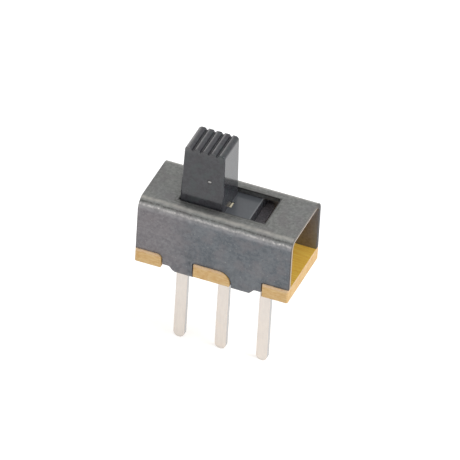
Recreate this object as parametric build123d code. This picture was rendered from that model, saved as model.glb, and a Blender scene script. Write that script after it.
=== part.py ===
from build123d import *
import os
from math import radians, tan

# A three-terminal slide switch in a folded steel shell, in millimetres.
# The origin is on the circuit board's face, under the middle terminal.
# X runs along the switch, Y to its back and Z up. The slider rests at its left end.

# Terminals
terminal_pitch = 3.0
terminal_width = 0.8
terminal_sheet = 0.35
terminal_drop = 7.5
terminal_tip_flat = 0.02
blade_width = 1.2
blade_corner = 0.3
stake_width = 0.08
stake_height = 0.35
slot_gap = 0.03

# Base
base_length = 11.0
base_thickness = 1.0
base_proud = 0.1
base_corner = 0.12
lug_gap = 0.08

# Shell
shell_length = 11.0
shell_width = 5.4
shell_rise = 4.0
sheet = 0.35
bend_radius = 0.45
window_corner = 0.2

# Lugs of the shell, which pass the base and fold under it
lug_spacing = 2.8
lug_width = 2.15
left_root_radius = 0.35
right_root_radius = 0.85
lug_step = 0.25
foot_width = 0.85
foot_flare = 0.8
foot_reach = 0.95
foot_radius = 0.25
crimp_radius = 0.1

# Slider
knob_length = 3.1
knob_depth = 2.85
knob_rise = 4.35
knob_draft = 1.3
knob_edge = 0.12
ridge_count = 5
ridge_depth = 0.21
ridge_valley_radius = 0.05
flange_reach = 1.8
flange_thickness = 0.8
rail_thickness = 0.6
rail_length = 5.6
slide_gap = 0.05
window_end_gap = 0.05
window_side_gap = 0.075

# Contact clip
clip_sheet = 0.15
clip_length = 4.0
clip_bend = 0.12
clip_floor_gap = 0.4
blade_top_gap = 0.3
clip_slot_width = 1.3
clip_slot_depth = 1.5
clip_slot_corner = 0.4
finger_corner = 0.2
dimple_radius = 0.5
dimple_height = 0.25
contact_gap = 0.03
tang_width = 0.55
tang_bend = 0.02
rail_gap = 0.05

# Levels, from the circuit board up
base_bottom = sheet
base_top = base_bottom + base_thickness
shell_top = base_top + shell_rise
ceiling = shell_top - sheet
flange_top = ceiling - slide_gap
flange_bottom = flange_top - flange_thickness
web_bottom = flange_bottom - clip_sheet
blade_top = web_bottom - blade_top_gap
contact_level = (base_top + blade_top) / 2

# Widths and places that follow from the values above
travel = terminal_pitch
rest_x = -travel / 2
inner_half = shell_width / 2 - sheet
window_length = knob_length + travel + 2 * window_end_gap
window_width = knob_depth + 2 * window_side_gap
arm_inner = terminal_sheet / 2 + contact_gap + dimple_height
arm_outer = arm_inner + clip_sheet
rail_inner = arm_outer + rail_gap
lug_inner = lug_spacing / 2
lug_outer = lug_inner + lug_width
foot_outer = lug_inner + foot_width


def outline(points, radii):
    """A closed flat face through points, with a corner radius at each."""
    return make_face(FilletPolyline(*points, radius=radii, close=True))


def shell_channel():
    """The sheet seen from its end: a roof, two walls and feet folded under the base."""
    half = shell_width / 2
    toe = inner_half - foot_reach
    outer = [(-toe, 0), (-half, 0), (-half, shell_top), (half, shell_top), (half, 0), (toe, 0)]
    inner = [(toe, sheet), (inner_half, sheet), (inner_half, ceiling)]
    inner += [(-inner_half, ceiling), (-inner_half, sheet), (-toe, sheet)]
    bend, crimp = bend_radius, crimp_radius
    radii = [0, crimp + sheet, bend + sheet, bend + sheet, crimp + sheet, 0]
    radii += [0, crimp, bend, bend, crimp, 0]
    return extrude(Plane.YZ * outline(outer + inner, radii), shell_length / 2, both=True)


def front_wall_outline():
    """What stays of the front wall: its straight lower edge, and two lugs with their feet."""
    end = shell_length / 2
    step = base_bottom + lug_step
    flare_end = foot_outer + foot_flare
    left = [(-end, base_top), (-lug_outer, base_top), (-lug_outer, step), (-flare_end, step)]
    left += [(-foot_outer, -sheet), (-lug_inner, -sheet), (-lug_inner, base_top)]
    right = [(lug_inner, base_top), (lug_inner, -sheet), (foot_outer, -sheet), (flare_end, step)]
    right += [(lug_outer, step), (lug_outer, base_top), (end, base_top)]
    roof = [(end, shell_top + sheet), (-end, shell_top + sheet)]
    left_radii = [0, left_root_radius, 0, foot_radius, 0, 0, 0]
    right_radii = [right_root_radius, 0, 0, foot_radius, 0, 0, 0]
    return outline(left + right + roof, left_radii + right_radii + [0, 0])


def make_shell():
    """One folded sheet, the same when it is turned end for end, with a window for the knob."""
    front = shell_channel() & extrude(Plane.XZ * front_wall_outline(), shell_width)
    shell = front + front.rotate(Axis.Z, 180)
    window = RectangleRounded(window_length, window_width, window_corner)
    return shell - extrude(Pos(Z=shell_top) * window, 2 * sheet, both=True)


def make_base():
    """A punched board with tabs between the lugs and a slot for each terminal."""
    half_width = shell_width / 2 + base_proud
    cut_floor = inner_half - crimp_radius
    plan = RectangleRounded(base_length, 2 * half_width, base_corner)
    cut = Rectangle(lug_width + 2 * lug_gap, 2 * (half_width - cut_floor))
    for side_x in (-1, 1):
        for side_y in (-1, 1):
            plan -= Pos(side_x * (lug_inner + lug_width / 2), side_y * half_width) * cut
    slot = Rectangle(terminal_width + 2 * slot_gap, terminal_sheet + 2 * slot_gap)
    for place in terminal_places():
        plan -= Pos(X=place) * slot
    board = Pos(Z=base_bottom) * extrude(plan, base_thickness)
    return press_tab_ends(board, cut_floor)


def press_tab_ends(board, cut_floor):
    """Rounds the tab ends that the lugs' roots press down: two in front, and two turned about."""
    for place, radius in ((0, left_root_radius), (2, right_root_radius)):
        ends = board.edges().filter_by(Axis.Y).group_by(Axis.Z)[-1].sort_by(Axis.X)
        front = ends.filter_by(lambda edge: edge.center().Y < -cut_floor)
        back = ends.filter_by(lambda edge: edge.center().Y > cut_floor)
        board = fillet([front[place], back[-1 - place]], radius)
    return board


def terminal_places():
    """Where the left, middle and right terminals stand."""
    return [-terminal_pitch, 0, terminal_pitch]


def make_terminal(place):
    """A flat blade on the base, staked under it, that goes on down as a round-ended pin."""
    pin = terminal_width / 2
    blade = blade_width / 2
    stake = pin + stake_width
    tip = base_bottom - terminal_drop
    right = [(pin, tip), (pin, base_bottom - stake_height), (stake, base_bottom), (pin, base_bottom)]
    right += [(pin, base_top), (blade, base_top), (blade, blade_top)]
    left = [(-x, z) for x, z in reversed(right)]
    round_end = pin - terminal_tip_flat
    radii = [round_end, 0, 0, 0, 0, 0, blade_corner]
    face = outline(right + left, radii + radii[::-1])
    return Pos(X=place) * extrude(Plane.XZ * face, terminal_sheet / 2, both=True)


def groove(pitch, crown_radius):
    """The hollow between two finger ridges, seen from the front, under the middle of its mouth."""
    share = ridge_valley_radius / (ridge_valley_radius + crown_radius)
    valley_middle = ridge_valley_radius - ridge_depth
    side_x = share * pitch / 2
    side_z = valley_middle - share * (valley_middle + crown_radius)
    left_crown, right_crown = (-pitch / 2, 0), (pitch / 2, 0)
    left_side, right_side = (-side_x, side_z), (side_x, side_z)
    edges = [Line(left_crown, right_crown), RadiusArc(right_crown, right_side, -crown_radius)]
    edges += [ThreePointArc(right_side, (0, -ridge_depth), left_side)]
    edges += [RadiusArc(left_side, left_crown, -crown_radius)]
    return make_face(Curve() + edges)


def make_knob():
    """The finger piece: a tapered block with softened edges and finger ridges across its top."""
    height = shell_top + knob_rise - flange_top
    top_length = knob_length - 2 * height * tan(radians(knob_draft))
    pitch = top_length / ridge_count
    crown_radius = (pitch * pitch / 4 + ridge_depth * ridge_depth) / (2 * ridge_depth)
    crown_radius -= ridge_valley_radius
    block = extrude(Rectangle(knob_length, knob_depth), height, taper=knob_draft)
    block = fillet(block.edges().filter_by(Axis.Y).group_by(Axis.Z)[-1], crown_radius)
    ends = block.faces().sort_by(Axis.Y)
    rims = ends[0].edges().sort_by(Axis.Z)[1:] + ends[-1].edges().sort_by(Axis.Z)[1:]
    block = fillet(rims, knob_edge)
    hollow = groove(pitch, crown_radius)
    for index in range(1, ridge_count):
        place = Pos(index * pitch - top_length / 2, height)
        block -= extrude(Plane.XZ * (place * hollow), knob_depth, both=True)
    return Pos(Z=flange_top) * block


def make_slider():
    """Knob, flange and two rails moulded in one, with slots where the clip's tangs come up."""
    length = knob_length + 2 * flange_reach
    half_width = inner_half - slide_gap
    round_over = bend_radius + slide_gap
    corners = [(-half_width, flange_bottom), (half_width, flange_bottom)]
    corners += [(half_width, flange_top), (-half_width, flange_top)]
    flange = outline(corners, [0, 0, round_over, round_over])
    body = extrude(Plane.YZ * flange, length / 2, both=True)
    rail_height = flange_bottom - base_top - slide_gap
    rail = Box(rail_length, rail_thickness, rail_height, align=(Align.CENTER, Align.MIN, Align.MAX))
    rail = Pos(0, rail_inner, flange_bottom) * rail
    body += rail + rail.mirror(Plane.XZ) + make_knob()
    slot_length = clip_sheet + 2 * tang_bend
    slot = Box(slot_length, tang_width + 2 * slot_gap, 2 * flange_thickness)
    slot = Pos(Z=flange_top - flange_thickness / 2) * slot
    for side in (-1, 1):
        body -= Pos(X=side * (knob_length + slot_length) / 2) * slot
    return Pos(X=rest_x) * body


def clip_arms():
    """The clip seen from its end: a bridge under the flange and an arm down each side."""
    low = base_top + clip_floor_gap
    outer = [(-arm_outer, low), (-arm_outer, flange_bottom)]
    outer += [(arm_outer, flange_bottom), (arm_outer, low)]
    inner = [(arm_inner, low), (arm_inner, web_bottom)]
    inner += [(-arm_inner, web_bottom), (-arm_inner, low)]
    fold = clip_bend + clip_sheet
    face = outline(outer + inner, [0, fold, fold, 0, 0, clip_bend, clip_bend, 0])
    return extrude(Plane.YZ * face, clip_length / 2, both=True)


def clip_side_outline():
    """The clip seen from its side: four fingers in two pairs, each with a rounded end."""
    end = clip_length / 2
    slot = clip_slot_width / 2
    low = base_top + clip_floor_gap
    fork = low + clip_slot_depth
    points = [(-end, low), (-slot, low), (-slot, fork), (slot, fork), (slot, low), (end, low)]
    points += [(end, flange_bottom), (-end, flange_bottom)]
    soft = finger_corner
    return outline(points, [soft, soft, clip_slot_corner, clip_slot_corner, soft, soft, 0, 0])


def make_tang():
    """A strip from the end of the bridge, turned up through the flange beside the knob."""
    near = knob_length / 2 + tang_bend
    far = near + clip_sheet
    top = flange_top - slot_gap
    start = near - tang_bend - clip_sheet
    points = [(start, web_bottom), (far, web_bottom), (far, top), (near, top)]
    points += [(near, flange_bottom), (start, flange_bottom)]
    face = outline(points, [0, tang_bend + clip_sheet, 0, 0, tang_bend, 0])
    return extrude(Plane.XZ * face, tang_width / 2, both=True)


def add_dimple(clip, side_x, side_y):
    """Presses one finger inwards: a cap proud of its inner face and a hollow in its outer face."""
    place_x = side_x * terminal_pitch / 2
    middle = Pos(place_x, side_y * (arm_inner - dimple_height + dimple_radius), contact_level)
    cap = Box(2 * dimple_radius, dimple_height, 2 * dimple_radius)
    cap = Pos(place_x, side_y * (arm_inner - dimple_height / 2), contact_level) * cap
    clip += (middle * Sphere(dimple_radius)) & cap
    return clip - middle * Sphere(dimple_radius - clip_sheet)


def make_clip():
    """A springy bridge that straddles two blades, with a dimple on each of its four fingers."""
    clip = clip_arms() & extrude(Plane.XZ * clip_side_outline(), arm_outer, both=True)
    trim = Box(clip_length, 2 * (arm_inner - clip_bend), 2 * clip_sheet)
    trim_x = knob_length / 2 - clip_sheet + clip_length / 2
    tang = make_tang()
    for side_x in (-1, 1):
        clip -= Pos(side_x * trim_x, 0, flange_bottom - clip_sheet / 2) * trim
        clip += tang if side_x > 0 else tang.mirror(Plane.YZ)
        for side_y in (-1, 1):
            clip = add_dimple(clip, side_x, side_y)
    return Pos(X=rest_x) * clip


def main():
    nodes = {"shell": make_shell(), "base_board": make_base(), "slider": make_slider()}
    nodes["contact_clip"] = make_clip()
    for name, place in zip(("left", "middle", "right"), terminal_places()):
        nodes["terminal_" + name] = make_terminal(place)
    os.makedirs("parts", exist_ok=True)
    for name, solid in nodes.items():
        export_step(solid, "parts/" + name + ".step")


main()
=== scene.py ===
import random
from math import cos, pi, radians, sin, tan

import bmesh
import bpy
from mathutils import Matrix, Vector


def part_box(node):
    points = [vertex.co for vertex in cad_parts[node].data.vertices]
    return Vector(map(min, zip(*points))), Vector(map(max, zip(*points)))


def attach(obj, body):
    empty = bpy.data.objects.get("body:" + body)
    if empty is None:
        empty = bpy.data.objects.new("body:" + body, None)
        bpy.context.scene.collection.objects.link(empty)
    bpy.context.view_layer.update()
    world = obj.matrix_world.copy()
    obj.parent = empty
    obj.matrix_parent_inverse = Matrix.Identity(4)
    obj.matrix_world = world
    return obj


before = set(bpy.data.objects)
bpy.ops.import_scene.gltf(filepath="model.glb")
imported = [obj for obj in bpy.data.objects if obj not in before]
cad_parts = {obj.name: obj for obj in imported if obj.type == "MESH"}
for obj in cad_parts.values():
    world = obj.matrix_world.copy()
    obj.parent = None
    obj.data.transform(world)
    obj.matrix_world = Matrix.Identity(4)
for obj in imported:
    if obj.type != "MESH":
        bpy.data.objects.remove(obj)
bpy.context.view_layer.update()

MM = 0.001

# Levels and reaches of the switch in millimetres, read from its own pieces
SHELL_END, SHELL_SIDE, SHELL_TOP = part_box("shell")[1] / MM
BOARD_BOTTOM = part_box("base_board")[0][2] / MM
BOARD_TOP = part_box("base_board")[1][2] / MM
KNOB_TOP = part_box("slider")[1][2] / MM
FLANGE_ENDS = [corner[0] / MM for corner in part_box("slider")]
FLANGE_MIDDLE = sum(FLANGE_ENDS) / 2
PIN_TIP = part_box("terminal_middle")[0][2] / MM

# Sizes that the pieces' boxes don't tell, in millimetres, and the knob's draft in degrees
SHEET = 0.35
SLIDE_GAP = 0.05
OUTER_BEND = 0.8
MIDDLE_TAB_REACH = 1.32
OUTER_TAB_START = 3.63
WINDOW_END = 3.1
WINDOW_SIDE = 1.5
KNOB_HALF_LENGTH = 1.55
KNOB_HALF_DEPTH = 1.425
KNOB_DRAFT = 1.3
FLANGE_THICKNESS = 0.8
FLANGE_TOP = SHELL_TOP - SHEET - SLIDE_GAP
FLANGE_BOTTOM = FLANGE_TOP - FLANGE_THICKNESS
KNOB_LEFT = FLANGE_MIDDLE - KNOB_HALF_LENGTH

# The moulding's low step under each end of the flange, in millimetres
STEP_REACH = 0.65
STEP_SEAT = 0.55
STEP_HALF_WIDTH = 2.25
STEP_THICKNESS = 0.4
STEP_CORNER = 0.3
STEP_CORNER_POINTS = 6
STEP_EDGE = 0.05
STEP_EDGE_ROWS = 3
ROUND_PROFILE = 0.5

# The broken gate on the knob's front: its place along and up, and its rings from root to break,
# each with how far it stands out and its share of the radius, in millimetres
GATE_PLACE = (-1.01, 7.4)
GATE_RADIUS = 0.09
GATE_WIDTH_SHARE = 1.3
GATE_HEIGHT_SHARE = 0.9
GATE_POINTS = 24
GATE_ROOT = (-0.03, 1.1)
GATE_RINGS = (GATE_ROOT, (0.015, 1.0), (0.035, 0.7), (0.03, 0.35))
GATE_RADIUS_ROUGHNESS = (0.82, 1.12)
GATE_LEVEL_ROUGHNESS = (-0.006, 0.01)
GATE_SEED = 7

# Painted highlights round the shell's bends, with a painted dark line of shade in the folding tool's
# groove and painted glints on worn spots at the crest, each with its middle and half width in
# degrees, where 0 is the side wall and 90 the roof, and the groove's depth in millimetres
ROOF_SIDE_HIGHLIGHT = (68, 16)
TOOL_GROOVE_SHADE = (47, 8)
TOOL_GROOVE = (46, 7)
CREST_HIGHLIGHT = (30, 11)
CREST_WORN_GLINTS = (30, 9)
WALL_SIDE_HIGHLIGHT = (18, 20)
TOOL_GROOVE_DEPTH = 0.012

# How far those marks wander along the bend in degrees, and how far they lean in degrees to the
# millimetre
BEND_WANDER = 14
BEND_LEAN = 0.7

# Where the shell's cut ends turn from sheared to broken, in millimetres from the outer face
SHEARED_DEPTH = 0.13
BROKEN_DEPTH = 0.19
ROOF_SHEARED_MORE = 0.11

# Painted shade round the window, each with its middle and half width in millimetres past the edge:
# along the window's rolled edge, and a painted shadow line of the knob a little further out
WINDOW_EDGE_SHADE = (0, 0.13)
WINDOW_SHADOW_LINE = (0.2, 0.12)

# Where the shell's walls turn browner to the left, and its grimiest place, in millimetres
BROWNER_FROM = -0.5
BROWNEST = -4
GRIME_MIDDLE = -1.3
GRIME_REACH = 1.4
GRIME_TOP = 2.9
GRIME_FULL = 1.2

# Half the width of the painted shadow line in the gap at a tab's end, in millimetres
TAB_END_SHADOW_HALF_WIDTH = 0.07

# Marks on the slider, each with its middle and half width in millimetres: a painted ring of shade
# round the gate, by how far it lies from the gate's middle, and a painted highlight along the
# flange's end edge, by how far in from the flange's end
GATE_SHADE_RING = (0.145, 0.085)
FLANGE_EDGE_HIGHLIGHT = (0.03, 0.1)

# How widely each finish softens sharp edges, in millimetres
SHELL_SOFTENING = 0.02
MOULDED_SOFTENING = 0.04
CLIP_SOFTENING = 0.07
BREAK_SOFTENING = 0.01
BEVEL_SAMPLES = 6

# The photograph's camera, in millimetres and degrees
IMAGE_WIDTH = 460
CAMERA_TURN = 19.68
CAMERA_RISE = 37.46
CAMERA_ROLL = -3.58
CAMERA_DISTANCE = 675.2
PIXELS_PER_MM = 14.947
CAMERA_SHIFT_X = -0.253
CAMERA_SHIFT_Y = -1.917
SENSOR_MM = 36
NEAREST_SEEN = 10

# The studio: the lamps' places and widths in metres with their power in watts, the floor's width
# in metres and its tone, and the strength of the light all round
LAMPS = {
    "key_lamp": ((-0.15, -0.2, 0.3), 0.2, 0.1),
    "fill_lamp": ((0.26, -0.02, 0.22), 0.2, 0.5),
    "rim_lamp": ((-0.2, 0.27, 0.11), 0.16, 0.04),
}
FLOOR_WIDTH = 0.6
FLOOR_TONE = (0.8, 0.8, 0.8, 1)
FLOOR_GLOW = 0.5
ROUND_LIGHT = 0.75


class Wire:
    """One socket in a set of nodes, so that a sum of sockets is written as a sum."""

    def __init__(self, nodes, socket):
        self.nodes = nodes
        self.socket = socket

    def math(self, operation, *others):
        values = dict(enumerate((self,) + others))
        return self.nodes.add("ShaderNodeMath", {"operation": operation}, values)

    def __add__(self, other):
        return self.math("ADD", other)

    def __radd__(self, other):
        return self.math("ADD", other)

    def __sub__(self, other):
        return self.math("SUBTRACT", other)

    def __rsub__(self, other):
        return self.nodes.add("ShaderNodeMath", {"operation": "SUBTRACT"}, {0: other, 1: self})

    def __mul__(self, other):
        return self.math("MULTIPLY", other)

    def __rmul__(self, other):
        return self.math("MULTIPLY", other)

    def __abs__(self):
        return self.math("ABSOLUTE")

    def at_least(self, other):
        return self.math("MAXIMUM", other)

    def squared(self):
        return self.math("POWER", 2)

    def ramp(self, start, end):
        """0 at start and 1 at end, with a soft step between them."""
        values = {"Value": self, "From Min": start, "From Max": end}
        return self.nodes.add("ShaderNodeMapRange", {"interpolation_type": "SMOOTHSTEP"}, values)

    def near(self, place, reach):
        """1 at a place, and 0 from reach away on either side."""
        return 1 - abs(self - place).ramp(0, reach)


class Nodes:
    """A node tree in the making, of a material or of the world."""

    def __init__(self, owner):
        owner.use_nodes = True
        self.owner = owner
        self.tree = owner.node_tree
        self.tree.nodes.clear()

    def add(self, kind, settings, values, output=0):
        """Adds a node: its settings first, then the values or wires of its sockets."""
        node = self.tree.nodes.new(kind)
        for key, value in settings.items():
            setattr(node, key, value)
        for key, value in values.items():
            if isinstance(value, Wire):
                self.tree.links.new(value.socket, node.inputs[key])
            else:
                node.inputs[key].default_value = value
        return Wire(self, node.outputs[output] if node.outputs else None)

    def seen_directly(self):
        """1 for what the camera, a gloss or a glass sees, and 0 for what only lights."""
        kinds = ("Is Camera Ray", "Is Glossy Ray", "Is Transmission Ray")
        camera, gloss, glass = [self.add("ShaderNodeLightPath", {}, {}, kind) for kind in kinds]
        return camera + gloss + glass


class Finish(Nodes):
    """A finish in the making, with the surface's point in millimetres and the way it faces."""

    def __init__(self, name):
        super().__init__(bpy.data.materials.new(name))
        place = self.add("ShaderNodeTexCoord", {}, {}, "Object")
        self.point = self.add("ShaderNodeVectorMath", {"operation": "SCALE"}, {0: place, "Scale": 1 / MM})
        self.x, self.y, self.z = self.parts(self.point)
        facing = self.add("ShaderNodeTexCoord", {}, {}, "Normal")
        self.facing_x, self.facing_y, self.facing_z = self.parts(facing)

    def parts(self, vector):
        return [self.add("ShaderNodeSeparateXYZ", {}, {0: vector}, axis) for axis in "XYZ"]

    def noise(self, scale, detail=2.0, roughness=0.5, stretch=(1, 1, 1)):
        """Cloudy noise from 0 to 1, with about scale clouds to the millimetre."""
        values = {0: self.point, 1: stretch}
        vector = self.add("ShaderNodeVectorMath", {"operation": "MULTIPLY"}, values)
        values = {"Vector": vector, "Scale": scale, "Detail": detail, "Roughness": roughness}
        return self.add("ShaderNodeTexNoise", {}, values)

    def mix(self, factor, first, second):
        return self.add("ShaderNodeMix", {"data_type": "RGBA"}, {0: factor, 6: first, 7: second}, 2)

    def spread(self, noise, dark, light, softness=0.15):
        """Two colours laid out by a noise, about half of each."""
        return self.mix(noise.ramp(0.5 - softness, 0.5 + softness), dark, light)

    def shade(self, values, relief, softening):
        """The shader, with its relief and the softening of its edges in millimetres."""
        edges = self.add("ShaderNodeBevel", {"samples": BEVEL_SAMPLES}, {"Radius": softening * MM})
        bump = {"Height": relief, "Distance": MM, "Normal": edges}
        values["Normal"] = self.add("ShaderNodeBump", {}, bump)
        shader = self.add("ShaderNodeBsdfPrincipled", {}, values)
        self.add("ShaderNodeOutputMaterial", {}, {"Surface": shader})
        return self.owner


def colour(red, green, blue):
    """A colour as it shows on a screen, 0 to 255, turned into a shader's linear values."""
    levels = [part / 255 for part in (red, green, blue)]
    linear = [level / 12.92 if level <= 0.04045 else ((level + 0.055) / 1.055) ** 2.4 for level in levels]
    return (*linear, 1)


def plating(steel, grain):
    """The plating's mottle: bluish walls, browner to the left and grimy low down, and a roof painted
    paler as painted light on the top.
    """
    wall = steel.spread(grain, colour(96, 100, 105), colour(115, 119, 123))
    left_wall = steel.spread(grain, colour(114, 111, 114), colour(134, 131, 133))
    wall = steel.mix(steel.x.ramp(BROWNER_FROM, BROWNEST), wall, left_wall)
    # The roof painted paler than the walls of the same sheet: painted light on the top face
    roof = steel.spread(grain, colour(124, 125, 123), colour(148, 149, 146))
    grey = steel.mix(steel.z.ramp(SHELL_TOP - OUTER_BEND, SHELL_TOP), wall, roof)

    brown_clouds = steel.noise(scale=1.1, detail=3).ramp(0.45, 0.65)
    grey = steel.mix(brown_clouds * 0.4, grey, colour(126, 121, 123))
    pale_clouds = steel.noise(scale=0.45, detail=2).ramp(0.5, 0.75)
    grey = steel.mix(pale_clouds * 0.25, grey, colour(138, 140, 142))
    bright_specks = steel.noise(scale=7, detail=2, roughness=0.4).ramp(0.66, 0.74)
    grey = steel.mix(bright_specks * 0.5, grey, colour(160, 160, 158))
    dark_specks = steel.noise(scale=4.3, detail=2, roughness=0.4).ramp(0.34, 0.26)
    grey = steel.mix(dark_specks * 0.3, grey, colour(88, 89, 90))

    low = steel.z.ramp(GRIME_TOP, GRIME_FULL)
    grime = steel.noise(scale=2.4, detail=4, roughness=0.7).ramp(0.45, 0.7) * low
    grimiest = steel.x.near(GRIME_MIDDLE, GRIME_REACH)
    return steel.mix(grime * (0.25 + grimiest * 0.5), grey, colour(70, 74, 78))


def bend_highlights_and_shade(steel, grey, bend, patchy):
    """Bright bands along the bends, partly rubbed plating and partly painted highlights, with a painted
    dark line of shade in the folding tool's groove between them, and worn spots with painted glints.
    """
    fine = steel.noise(scale=6, detail=3, roughness=0.6).ramp(0.35, 0.65)
    spots = steel.noise(scale=5, detail=2, roughness=0.4).ramp(0.64, 0.7)
    # The painted highlights and glints are stronger on the front bend than on the back
    front_highlight_weight = 0.6 + steel.y.ramp(1, -1) * 0.4
    # Painted highlights either side of the bend and on its crest, and a painted dark line of shade in the
    # groove
    roof_side = bend.near(*ROOF_SIDE_HIGHLIGHT) * (0.45 + patchy * 0.4)
    grey = steel.mix(roof_side, grey, colour(186, 183, 177))
    groove_shade = bend.near(*TOOL_GROOVE_SHADE) * (0.3 + fine * 0.5)
    grey = steel.mix(groove_shade, grey, colour(72, 72, 68))
    wall_side = bend.near(*WALL_SIDE_HIGHLIGHT) * (0.2 + patchy * 0.3) * front_highlight_weight
    grey = steel.mix(wall_side, grey, colour(176, 174, 176))
    crest = bend.near(*CREST_HIGHLIGHT) * (0.35 + fine * 0.6) * front_highlight_weight
    grey = steel.mix(crest, grey, colour(204, 201, 199))
    # Worn spots at the crest, with a painted glint
    worn_glint_spots = bend.near(*CREST_WORN_GLINTS) * spots * front_highlight_weight
    return steel.mix(worn_glint_spots, grey, colour(222, 219, 216))


def cut_sheet(steel, broken, roof_end):
    """The sheet's cut ends: dark on the sheared outer band, which also stands as painted shade on the
    rolled edge, pale where they broke, and darker on the back wall's ends.
    """
    # The sheared band's dark colour is partly painted shade on the rolled edge
    sheared_colour = steel.mix(roof_end, colour(96, 93, 91), colour(124, 121, 118))
    broken_colour = steel.mix(roof_end, colour(200, 182, 162), colour(218, 206, 195))
    cut = steel.mix(broken, sheared_colour, broken_colour)
    rear = steel.y.ramp(WINDOW_SIDE, SHELL_SIDE - 0.4)
    return steel.mix(rear, cut, colour(92, 90, 89))


def inner_face(steel, grain):
    """The shell's inside: bluish, greyer further in, and paler near the open ends as painted light
    coming in through them.
    """
    inner = steel.spread(grain, colour(129, 127, 142), colour(147, 145, 160))
    deep = abs(steel.x).ramp(SHELL_END - 1.1, SHELL_END - 2.1)
    inner = steel.mix(deep, inner, colour(136, 134, 138))
    # Painted light near the open ends
    mouth_light = abs(steel.x).ramp(SHELL_END - 0.6, SHELL_END - 0.1)
    return steel.mix(mouth_light * 0.5, inner, colour(150, 157, 170))


def shell_steel():
    """Dull plated steel: mottled grey, with painted highlights and shade along the bends over partly
    rubbed plating, and bare where it was cut.
    """
    steel = Finish("shell_steel")
    grain = steel.noise(scale=5, detail=5, roughness=0.7)
    patchy = steel.noise(scale=2.6, detail=3, roughness=0.6).ramp(0.35, 0.65)

    across = abs(steel.y) - (SHELL_SIDE - OUTER_BEND)
    above = steel.z - (SHELL_TOP - OUTER_BEND)
    wander = (steel.noise(scale=1.3, detail=3, stretch=(1, 0, 0)) - 0.5) * BEND_WANDER
    lean = steel.x * BEND_LEAN * steel.y.ramp(1, -1)
    bend = above.math("ARCTAN2", across) * (180 / pi) + wander + lean
    # Painted highlights and shade along the bends, over the plating's mottle
    grey = bend_highlights_and_shade(steel, plating(steel, grain), bend, patchy)

    past_window = (abs(steel.x) - WINDOW_END).at_least(abs(steel.y) - WINDOW_SIDE)
    roof = steel.z.ramp(SHELL_TOP - 0.15, SHELL_TOP - 0.05)
    # Painted shade along the window's rolled edge
    window_edge_shade = past_window.near(*WINDOW_EDGE_SHADE) * roof
    grey = steel.mix(window_edge_shade * 0.8, grey, colour(72, 71, 70))
    # A patchy painted shadow line of the knob on the roof
    knob_shadow_line = past_window.near(*WINDOW_SHADOW_LINE) * roof * patchy
    grey = steel.mix(knob_shadow_line * 0.6, grey, colour(84, 84, 78))

    from_middle = across.at_least(0).squared() + above.at_least(0).squared()
    depth = OUTER_BEND - from_middle.math("SQRT")
    inside = depth.ramp(SHEET - 0.06, SHEET - 0.02)
    grey = steel.mix(inside, grey, inner_face(steel, grain))
    ends = abs(steel.x).ramp(SHELL_END - 0.03, SHELL_END - 0.01)
    roof_end = steel.z.ramp(SHELL_TOP - OUTER_BEND, SHELL_TOP - 0.5)
    broken = (depth - roof_end * ROOF_SHEARED_MORE).ramp(SHEARED_DEPTH, BROKEN_DEPTH)
    grey = steel.mix(ends, grey, cut_sheet(steel, broken, roof_end))

    # A painted highlight on the window's cut edge, where it broke
    window_edge_highlight = past_window.ramp(0.015, 0) * broken
    grey = steel.mix(window_edge_highlight * 0.5, grey, colour(150, 146, 140))
    lower_edges = steel.facing_z.ramp(-0.6, -0.9) * steel.z.ramp(BOARD_BOTTOM, BOARD_BOTTOM + 0.1)
    grey = steel.mix(lower_edges * 0.5, grey, colour(160, 150, 140))
    # Painted shadow on the lugs' sides, in the gaps beside the board's tabs
    lugs = steel.z.ramp(BOARD_TOP + 0.1, BOARD_TOP)
    lug_side_shadow = abs(steel.facing_x).ramp(0.4, 0.8) * lugs * (1 - ends)
    grey = steel.mix(lug_side_shadow, grey, colour(40, 31, 30))

    roughness = 0.4 + grain * 0.16 + ends * 0.25 + roof * 0.06 - inside * 0.04
    metallic = 0.9 - ends * 0.5
    groove = bend.near(*TOOL_GROOVE) * -TOOL_GROOVE_DEPTH
    relief = grain * 0.006 + steel.noise(scale=14, detail=2) * 0.003 + groove
    values = {"Base Color": grey, "Metallic": metallic, "Roughness": roughness}
    return steel.shade(values, relief, SHELL_SOFTENING)


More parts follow.
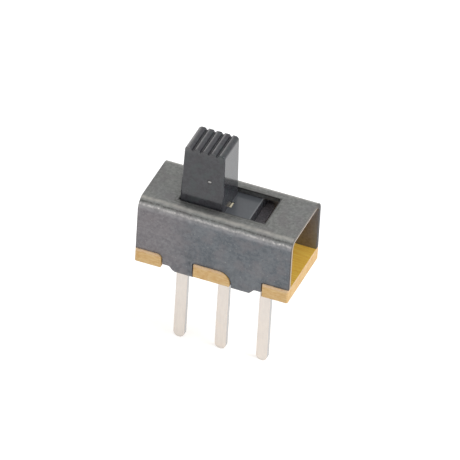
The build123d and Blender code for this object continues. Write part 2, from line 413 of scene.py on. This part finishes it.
def board_laminate():
    """Resin-bonded paper board: a golden pressed face and paler punched edges that show its layers."""
    board = Finish("board_laminate")
    fibres = board.noise(scale=3.2, detail=3, roughness=0.6, stretch=(0.25, 8, 1))
    face = board.spread(fibres, colour(236, 176, 58), colour(255, 216, 100), softness=0.2)

    layers = board.noise(scale=3.2, detail=4, roughness=0.65, stretch=(0.7, 0.7, 4))
    edge = board.spread(layers, colour(226, 181, 116), colour(242, 208, 152), softness=0.22)
    # A pale rim along the top of the edges: crushed by the punch, and partly a painted highlight
    crushed_and_highlit_rim = board.z.ramp(BOARD_TOP - 0.25, BOARD_TOP - 0.05)
    edge = board.mix(crushed_and_highlit_rim * (0.3 + layers * 0.5), edge, colour(238, 208, 180))
    scorched = board.noise(scale=3, detail=3, roughness=0.6).ramp(0.5, 0.75)
    edge = board.mix(scorched * 0.45, edge, colour(216, 158, 84))

    tabs = abs(board.y).ramp(SHELL_SIDE - 0.02, SHELL_SIDE)
    along = board.x * (1 - board.y.ramp(-0.1, 0.1) * 2)
    # Painted shadow lines in the gaps at the tabs' ends
    middle_tab_end_shadow = along.near(-MIDDLE_TAB_REACH, TAB_END_SHADOW_HALF_WIDTH)
    tab_end_shadows = middle_tab_end_shadow + along.near(OUTER_TAB_START, TAB_END_SHADOW_HALF_WIDTH)
    edge = board.mix(tab_end_shadows * tabs * 0.9, edge, colour(70, 42, 32))

    upright = abs(board.facing_z).ramp(0.8, 0.3).at_least(tabs)
    golden = board.mix(upright, face, edge)
    specks = board.noise(scale=9, detail=2, roughness=0.4).ramp(0.66, 0.74)
    golden = board.mix(specks * 0.4, golden, colour(186, 132, 62))
    pressed = fibres * 0.006 * (1 - upright)
    layered = layers * upright * 0.012
    relief = pressed + layered + board.noise(scale=11, detail=3) * 0.006
    roughness = 0.42 + upright * 0.22
    return board.shade({"Base Color": golden, "Roughness": roughness}, relief, MOULDED_SOFTENING)


def terminal_metal():
    """Bright plated strip: off-white faces with faint rolling lines, and greyer cut sides."""
    strip = Finish("terminal_metal")
    rolled = strip.noise(scale=1.8, detail=3, roughness=0.6, stretch=(3, 3, 0.6))
    face = strip.spread(rolled, colour(217, 210, 204), colour(226, 219, 212), softness=0.3)
    warm_clouds = strip.noise(scale=0.8, detail=2).ramp(0.5, 0.8)
    face = strip.mix(warm_clouds * 0.3, face, colour(229, 212, 200))
    sides = abs(strip.facing_x).ramp(0.5, 0.9)
    face = strip.mix(sides * 0.85, face, colour(182, 184, 186))
    tip = strip.z.ramp(PIN_TIP + 0.3, PIN_TIP)
    face = strip.mix(tip * 0.3, face, colour(198, 194, 188))
    marks = strip.noise(scale=5, detail=3, roughness=0.5).ramp(0.64, 0.74)
    face = strip.mix(marks * 0.3, face, colour(200, 196, 190))
    relief = rolled * 0.003 + strip.noise(scale=9, detail=2) * 0.003
    values = {"Base Color": face, "Metallic": 0.85, "Roughness": 0.28 + rolled * 0.14}
    return strip.shade(values, relief, MOULDED_SOFTENING)


def slider_plastic():
    """Black moulded plastic with some gloss; the finger ridges' left-facing flanks painted lighter as
    painted light, broken up by scuffs.
    """
    plastic = Finish("slider_plastic")
    grain = plastic.noise(scale=3.2, detail=4, roughness=0.65)
    black = plastic.spread(grain, colour(48, 46, 52), colour(66, 66, 71), softness=0.2)
    green_clouds = plastic.noise(scale=1.6, detail=3).ramp(0.45, 0.7)
    black = plastic.mix(green_clouds * 0.6, black, colour(55, 66, 66))

    ridges = plastic.z.ramp(KNOB_TOP - 0.5, KNOB_TOP)
    # The ridges' left-facing flanks painted lighter: painted light from the left, broken up by scuffs
    lit_left_flanks = ridges * plastic.facing_x.ramp(0.35, -0.4)
    scuffs = plastic.noise(scale=2.4, detail=4, roughness=0.7, stretch=(3, 1, 1)).ramp(0.4, 0.7)
    black = plastic.mix(lit_left_flanks * (0.3 + scuffs * 0.6), black, colour(104, 101, 102))
    # A painted highlight on the first ridge's left flank
    first_ridge_highlight = plastic.x.ramp(KNOB_LEFT + 0.85, KNOB_LEFT + 0.25) * lit_left_flanks
    black = plastic.mix(first_ridge_highlight * (0.4 + scuffs * 0.3), black, colour(142, 140, 138))

    dust = plastic.noise(scale=7, detail=3, roughness=0.6).ramp(0.4, 0.72)
    low = plastic.z.ramp(FLANGE_TOP - 0.3, FLANGE_BOTTOM) * plastic.facing_z.ramp(0.3, 0.8)
    black = plastic.mix(low * (0.55 + dust * 0.45), black, colour(128, 124, 128))
    # The flange's top painted light grey: painted light on the same black plastic
    flange_level = plastic.z.near(FLANGE_TOP, 0.1)
    flange_face = plastic.facing_z.ramp(0.7, 0.95) * flange_level
    black = plastic.mix(flange_face * 0.7, black, colour(92, 96, 101))
    from_end = FLANGE_ENDS[1] - FLANGE_MIDDLE - abs(plastic.x - FLANGE_MIDDLE)
    # A painted highlight along the flange's end edge
    flange_edge_highlight = from_end.near(*FLANGE_EDGE_HIGHLIGHT) * flange_level
    black = plastic.mix(flange_edge_highlight * 0.6, black, colour(126, 127, 130))

    values = {0: plastic.point, 1: gate_middle()}
    from_gate = plastic.add("ShaderNodeVectorMath", {"operation": "DISTANCE"}, values, "Value")
    # A painted ring of shade round the gate stub
    gate_shade_ring = from_gate.near(*GATE_SHADE_RING)
    black = plastic.mix(gate_shade_ring * 0.9, black, colour(12, 12, 14))
    foot = plastic.z.ramp(FLANGE_TOP + 0.9, FLANGE_TOP + 0.2)
    rubbed = foot * abs(plastic.facing_x).ramp(0.7, 0.95)
    roughness = 0.09 + grain * 0.07 + ridges * 0.06 + gate_shade_ring * 0.2 + flange_face * 0.12 + rubbed * 0.14
    relief = grain * 0.002 + plastic.noise(scale=12, detail=2) * 0.001
    values = {"Base Color": black, "Roughness": roughness, "IOR": 1.58}
    return plastic.shade(values, relief, MOULDED_SOFTENING)


def torn_plastic_highlight():
    """The whitened break where the moulding's sprue came off, painted pale also as a painted highlight.
    """
    stub = Finish("torn_plastic_highlight")
    crumbs = stub.noise(scale=14, detail=3, roughness=0.6)
    grey = stub.spread(crumbs, colour(150, 148, 148), colour(206, 203, 200))
    relief = stub.noise(scale=20, detail=2) * 0.01
    return stub.shade({"Base Color": grey, "Roughness": 0.5}, relief, BREAK_SOFTENING)


def clip_bronze():
    """Springy bronze strip, rolled bright and a little tarnished, with its cut tips painted near white,
    partly as a painted glint.
    """
    bronze = Finish("clip_bronze")
    rolled = bronze.noise(scale=2, detail=3, roughness=0.6, stretch=(0.5, 4, 4))
    gold = bronze.spread(rolled, colour(224, 186, 112), colour(246, 220, 158), softness=0.2)
    tarnish = bronze.noise(scale=2.5, detail=3).ramp(0.55, 0.75)
    gold = bronze.mix(tarnish * 0.4, gold, colour(176, 132, 74))
    # The tips painted near white: paler cut metal, and partly a painted glint
    tip = bronze.z.ramp(FLANGE_TOP - 0.12, FLANGE_TOP - 0.07)
    gold = bronze.mix(tip * 0.9, gold, colour(255, 246, 218))
    metallic = 0.85 - tip * 0.6
    values = {"Base Color": gold, "Metallic": metallic, "Roughness": 0.24 + rolled * 0.1}
    return bronze.shade(values, rolled * 0.003, CLIP_SOFTENING)


def dress(material, *names):
    for name in names:
        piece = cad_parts[name]
        piece.data.materials.clear()
        piece.data.materials.append(material)


def add_to_slider(name, shape, material):
    """Makes a piece from a finished shape, which rides on the slider and takes its finish."""
    bmesh.ops.recalc_face_normals(shape, faces=shape.faces)
    mesh = bpy.data.meshes.new(name)
    shape.to_mesh(mesh)
    shape.free()
    mesh.materials.append(material)
    piece = bpy.data.objects.new(name, mesh)
    bpy.context.scene.collection.objects.link(piece)
    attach(piece, "slider")


def gate_middle():
    """The middle of the sprue's mark, on the knob's slanting front."""
    x, z = GATE_PLACE
    y = -KNOB_HALF_DEPTH + (z - FLANGE_TOP) * tan(radians(KNOB_DRAFT))
    return Vector((x, y, z))


def gate_ring(shape, level, share, chance):
    """One rough ring round the gate's middle; the root ring keeps its level."""
    ring = []
    rough = (level, share) != GATE_ROOT
    for step in range(GATE_POINTS):
        angle = step * 2 * pi / GATE_POINTS
        radius = GATE_RADIUS * share * chance.uniform(*GATE_RADIUS_ROUGHNESS)
        out = level + chance.uniform(*GATE_LEVEL_ROUGHNESS) * rough
        along = radius * GATE_WIDTH_SHARE * cos(angle)
        up = radius * GATE_HEIGHT_SHARE * sin(angle)
        place = gate_middle() + Vector((along, -out, up))
        ring.append(shape.verts.new(place * MM))
    return ring


def add_gate_stub(material):
    """A low broken stub, rough all round, on the knob's front."""
    chance = random.Random(GATE_SEED)
    shape = bmesh.new()
    rings = [gate_ring(shape, level, share, chance) for level, share in GATE_RINGS]
    for inner, outer in zip(rings[1:], rings):
        for step in range(GATE_POINTS):
            after = (step + 1) % GATE_POINTS
            shape.faces.new((outer[step], outer[after], inner[after], inner[step]))
    shape.faces.new(rings[-1])
    shape.faces.new(rings[0][::-1])
    add_to_slider("gate_stub", shape, material)


def arc(middle, radius, start, end, steps):
    """Points round a middle, from a start angle to an end angle in degrees."""
    turns = [radians(start + (end - start) * step / steps) for step in range(steps + 1)]
    return [(middle[0] + radius * cos(turn), middle[1] + radius * sin(turn)) for turn in turns]


def add_slider_step(name, end_x, side, material):
    """The low step of the moulding under one end of the flange, seen through the window."""
    reach = STEP_REACH - STEP_CORNER
    half = STEP_HALF_WIDTH - STEP_CORNER
    outline = [(-STEP_SEAT, -STEP_HALF_WIDTH)]
    outline += arc((reach, -half), STEP_CORNER, -90, 0, STEP_CORNER_POINTS)
    outline += arc((reach, half), STEP_CORNER, 0, 90, STEP_CORNER_POINTS)
    outline += [(-STEP_SEAT, STEP_HALF_WIDTH)]
    shape = bmesh.new()
    corners = [shape.verts.new((end_x + side * x, y, FLANGE_BOTTOM)) for x, y in outline]
    upper = shape.faces.new(corners)
    lower = bmesh.ops.extrude_face_region(shape, geom=[upper])["geom"]
    sunk = [part for part in lower if isinstance(part, bmesh.types.BMVert)]
    bmesh.ops.translate(shape, verts=sunk, vec=(0, 0, -STEP_THICKNESS))
    rims = [edge for edge in shape.edges if edge.verts[0].co.z == edge.verts[1].co.z]
    bmesh.ops.bevel(shape, geom=rims, offset=STEP_EDGE, segments=STEP_EDGE_ROWS,
                    profile=ROUND_PROFILE, affect="EDGES")
    bmesh.ops.scale(shape, verts=shape.verts, vec=(MM, MM, MM))
    add_to_slider(name, shape, material)


def studio_floor():
    """A plain pale floor at the pins' tips, which shows white and keeps the switch's shadow."""
    bpy.ops.mesh.primitive_plane_add(size=FLOOR_WIDTH, location=(0, 0, PIN_TIP * MM))
    floor = bpy.context.object
    floor.name = "floor"
    nodes = Nodes(bpy.data.materials.new("floor_white"))
    paint = nodes.add("ShaderNodeBsdfDiffuse", {}, {"Color": FLOOR_TONE})
    glow = nodes.add("ShaderNodeEmission", {}, {"Strength": nodes.seen_directly() * FLOOR_GLOW})
    both = nodes.add("ShaderNodeAddShader", {}, {0: paint, 1: glow})
    nodes.add("ShaderNodeOutputMaterial", {}, {"Surface": both})
    floor.data.materials.append(nodes.owner)


def studio_world():
    """Even light all round, which shows as white where it is seen directly."""
    world = bpy.data.worlds.new("studio")
    bpy.context.scene.world = world
    nodes = Nodes(world)
    strength = ROUND_LIGHT + nodes.seen_directly() * (1 - ROUND_LIGHT)
    glow = nodes.add("ShaderNodeBackground", {}, {"Strength": strength})
    nodes.add("ShaderNodeOutputWorld", {}, {"Surface": glow})


def soft_lamp(name, place, width, power):
    """A round soft lamp, turned to the switch."""
    data = bpy.data.lights.new(name, "AREA")
    data.shape = "DISK"
    data.size = width
    data.energy = power
    lamp = bpy.data.objects.new(name, data)
    bpy.context.scene.collection.objects.link(lamp)
    lamp.location = place
    lamp.rotation_euler = Vector(place).to_track_quat("Z", "Y").to_euler()


def photo_camera():
    """The camera at the photograph's angle, aimed past the middle of the board's underside."""
    turn, rise, roll = radians(CAMERA_TURN), radians(CAMERA_RISE), radians(CAMERA_ROLL)
    back = Vector((sin(turn) * cos(rise), -cos(turn) * cos(rise), sin(rise)))
    level = Vector((cos(turn), sin(turn), 0))
    up = back.cross(level)
    right = cos(roll) * level - sin(roll) * up
    above = sin(roll) * level + cos(roll) * up
    eye = -CAMERA_SHIFT_X * right - CAMERA_SHIFT_Y * above + CAMERA_DISTANCE * back
    eye += Vector((0, 0, BOARD_BOTTOM))
    data = bpy.data.cameras.new("photo_camera")
    data.sensor_width = SENSOR_MM
    data.lens = PIXELS_PER_MM * CAMERA_DISTANCE * SENSOR_MM / IMAGE_WIDTH
    data.clip_start = NEAREST_SEEN * MM
    camera = bpy.data.objects.new("photo_camera", data)
    bpy.context.scene.collection.objects.link(camera)
    turned = Matrix((right, above, back)).transposed().to_4x4()
    camera.matrix_world = Matrix.Translation(eye * MM) @ turned
    bpy.context.scene.camera = camera


photo_camera()
studio_floor()
studio_world()
for lamp_name, (lamp_place, lamp_width, lamp_power) in LAMPS.items():
    soft_lamp(lamp_name, lamp_place, lamp_width, lamp_power)
bpy.context.scene.view_settings.view_transform = "Standard"

dress(shell_steel(), "shell")
dress(board_laminate(), "base_board")
dress(terminal_metal(), "terminal_left", "terminal_middle", "terminal_right")
black_moulding = slider_plastic()
dress(black_moulding, "slider")
dress(clip_bronze(), "contact_clip")
add_gate_stub(torn_plastic_highlight())
add_slider_step("slider_step_left", FLANGE_ENDS[0], -1, black_moulding)
add_slider_step("slider_step_right", FLANGE_ENDS[1], 1, black_moulding)
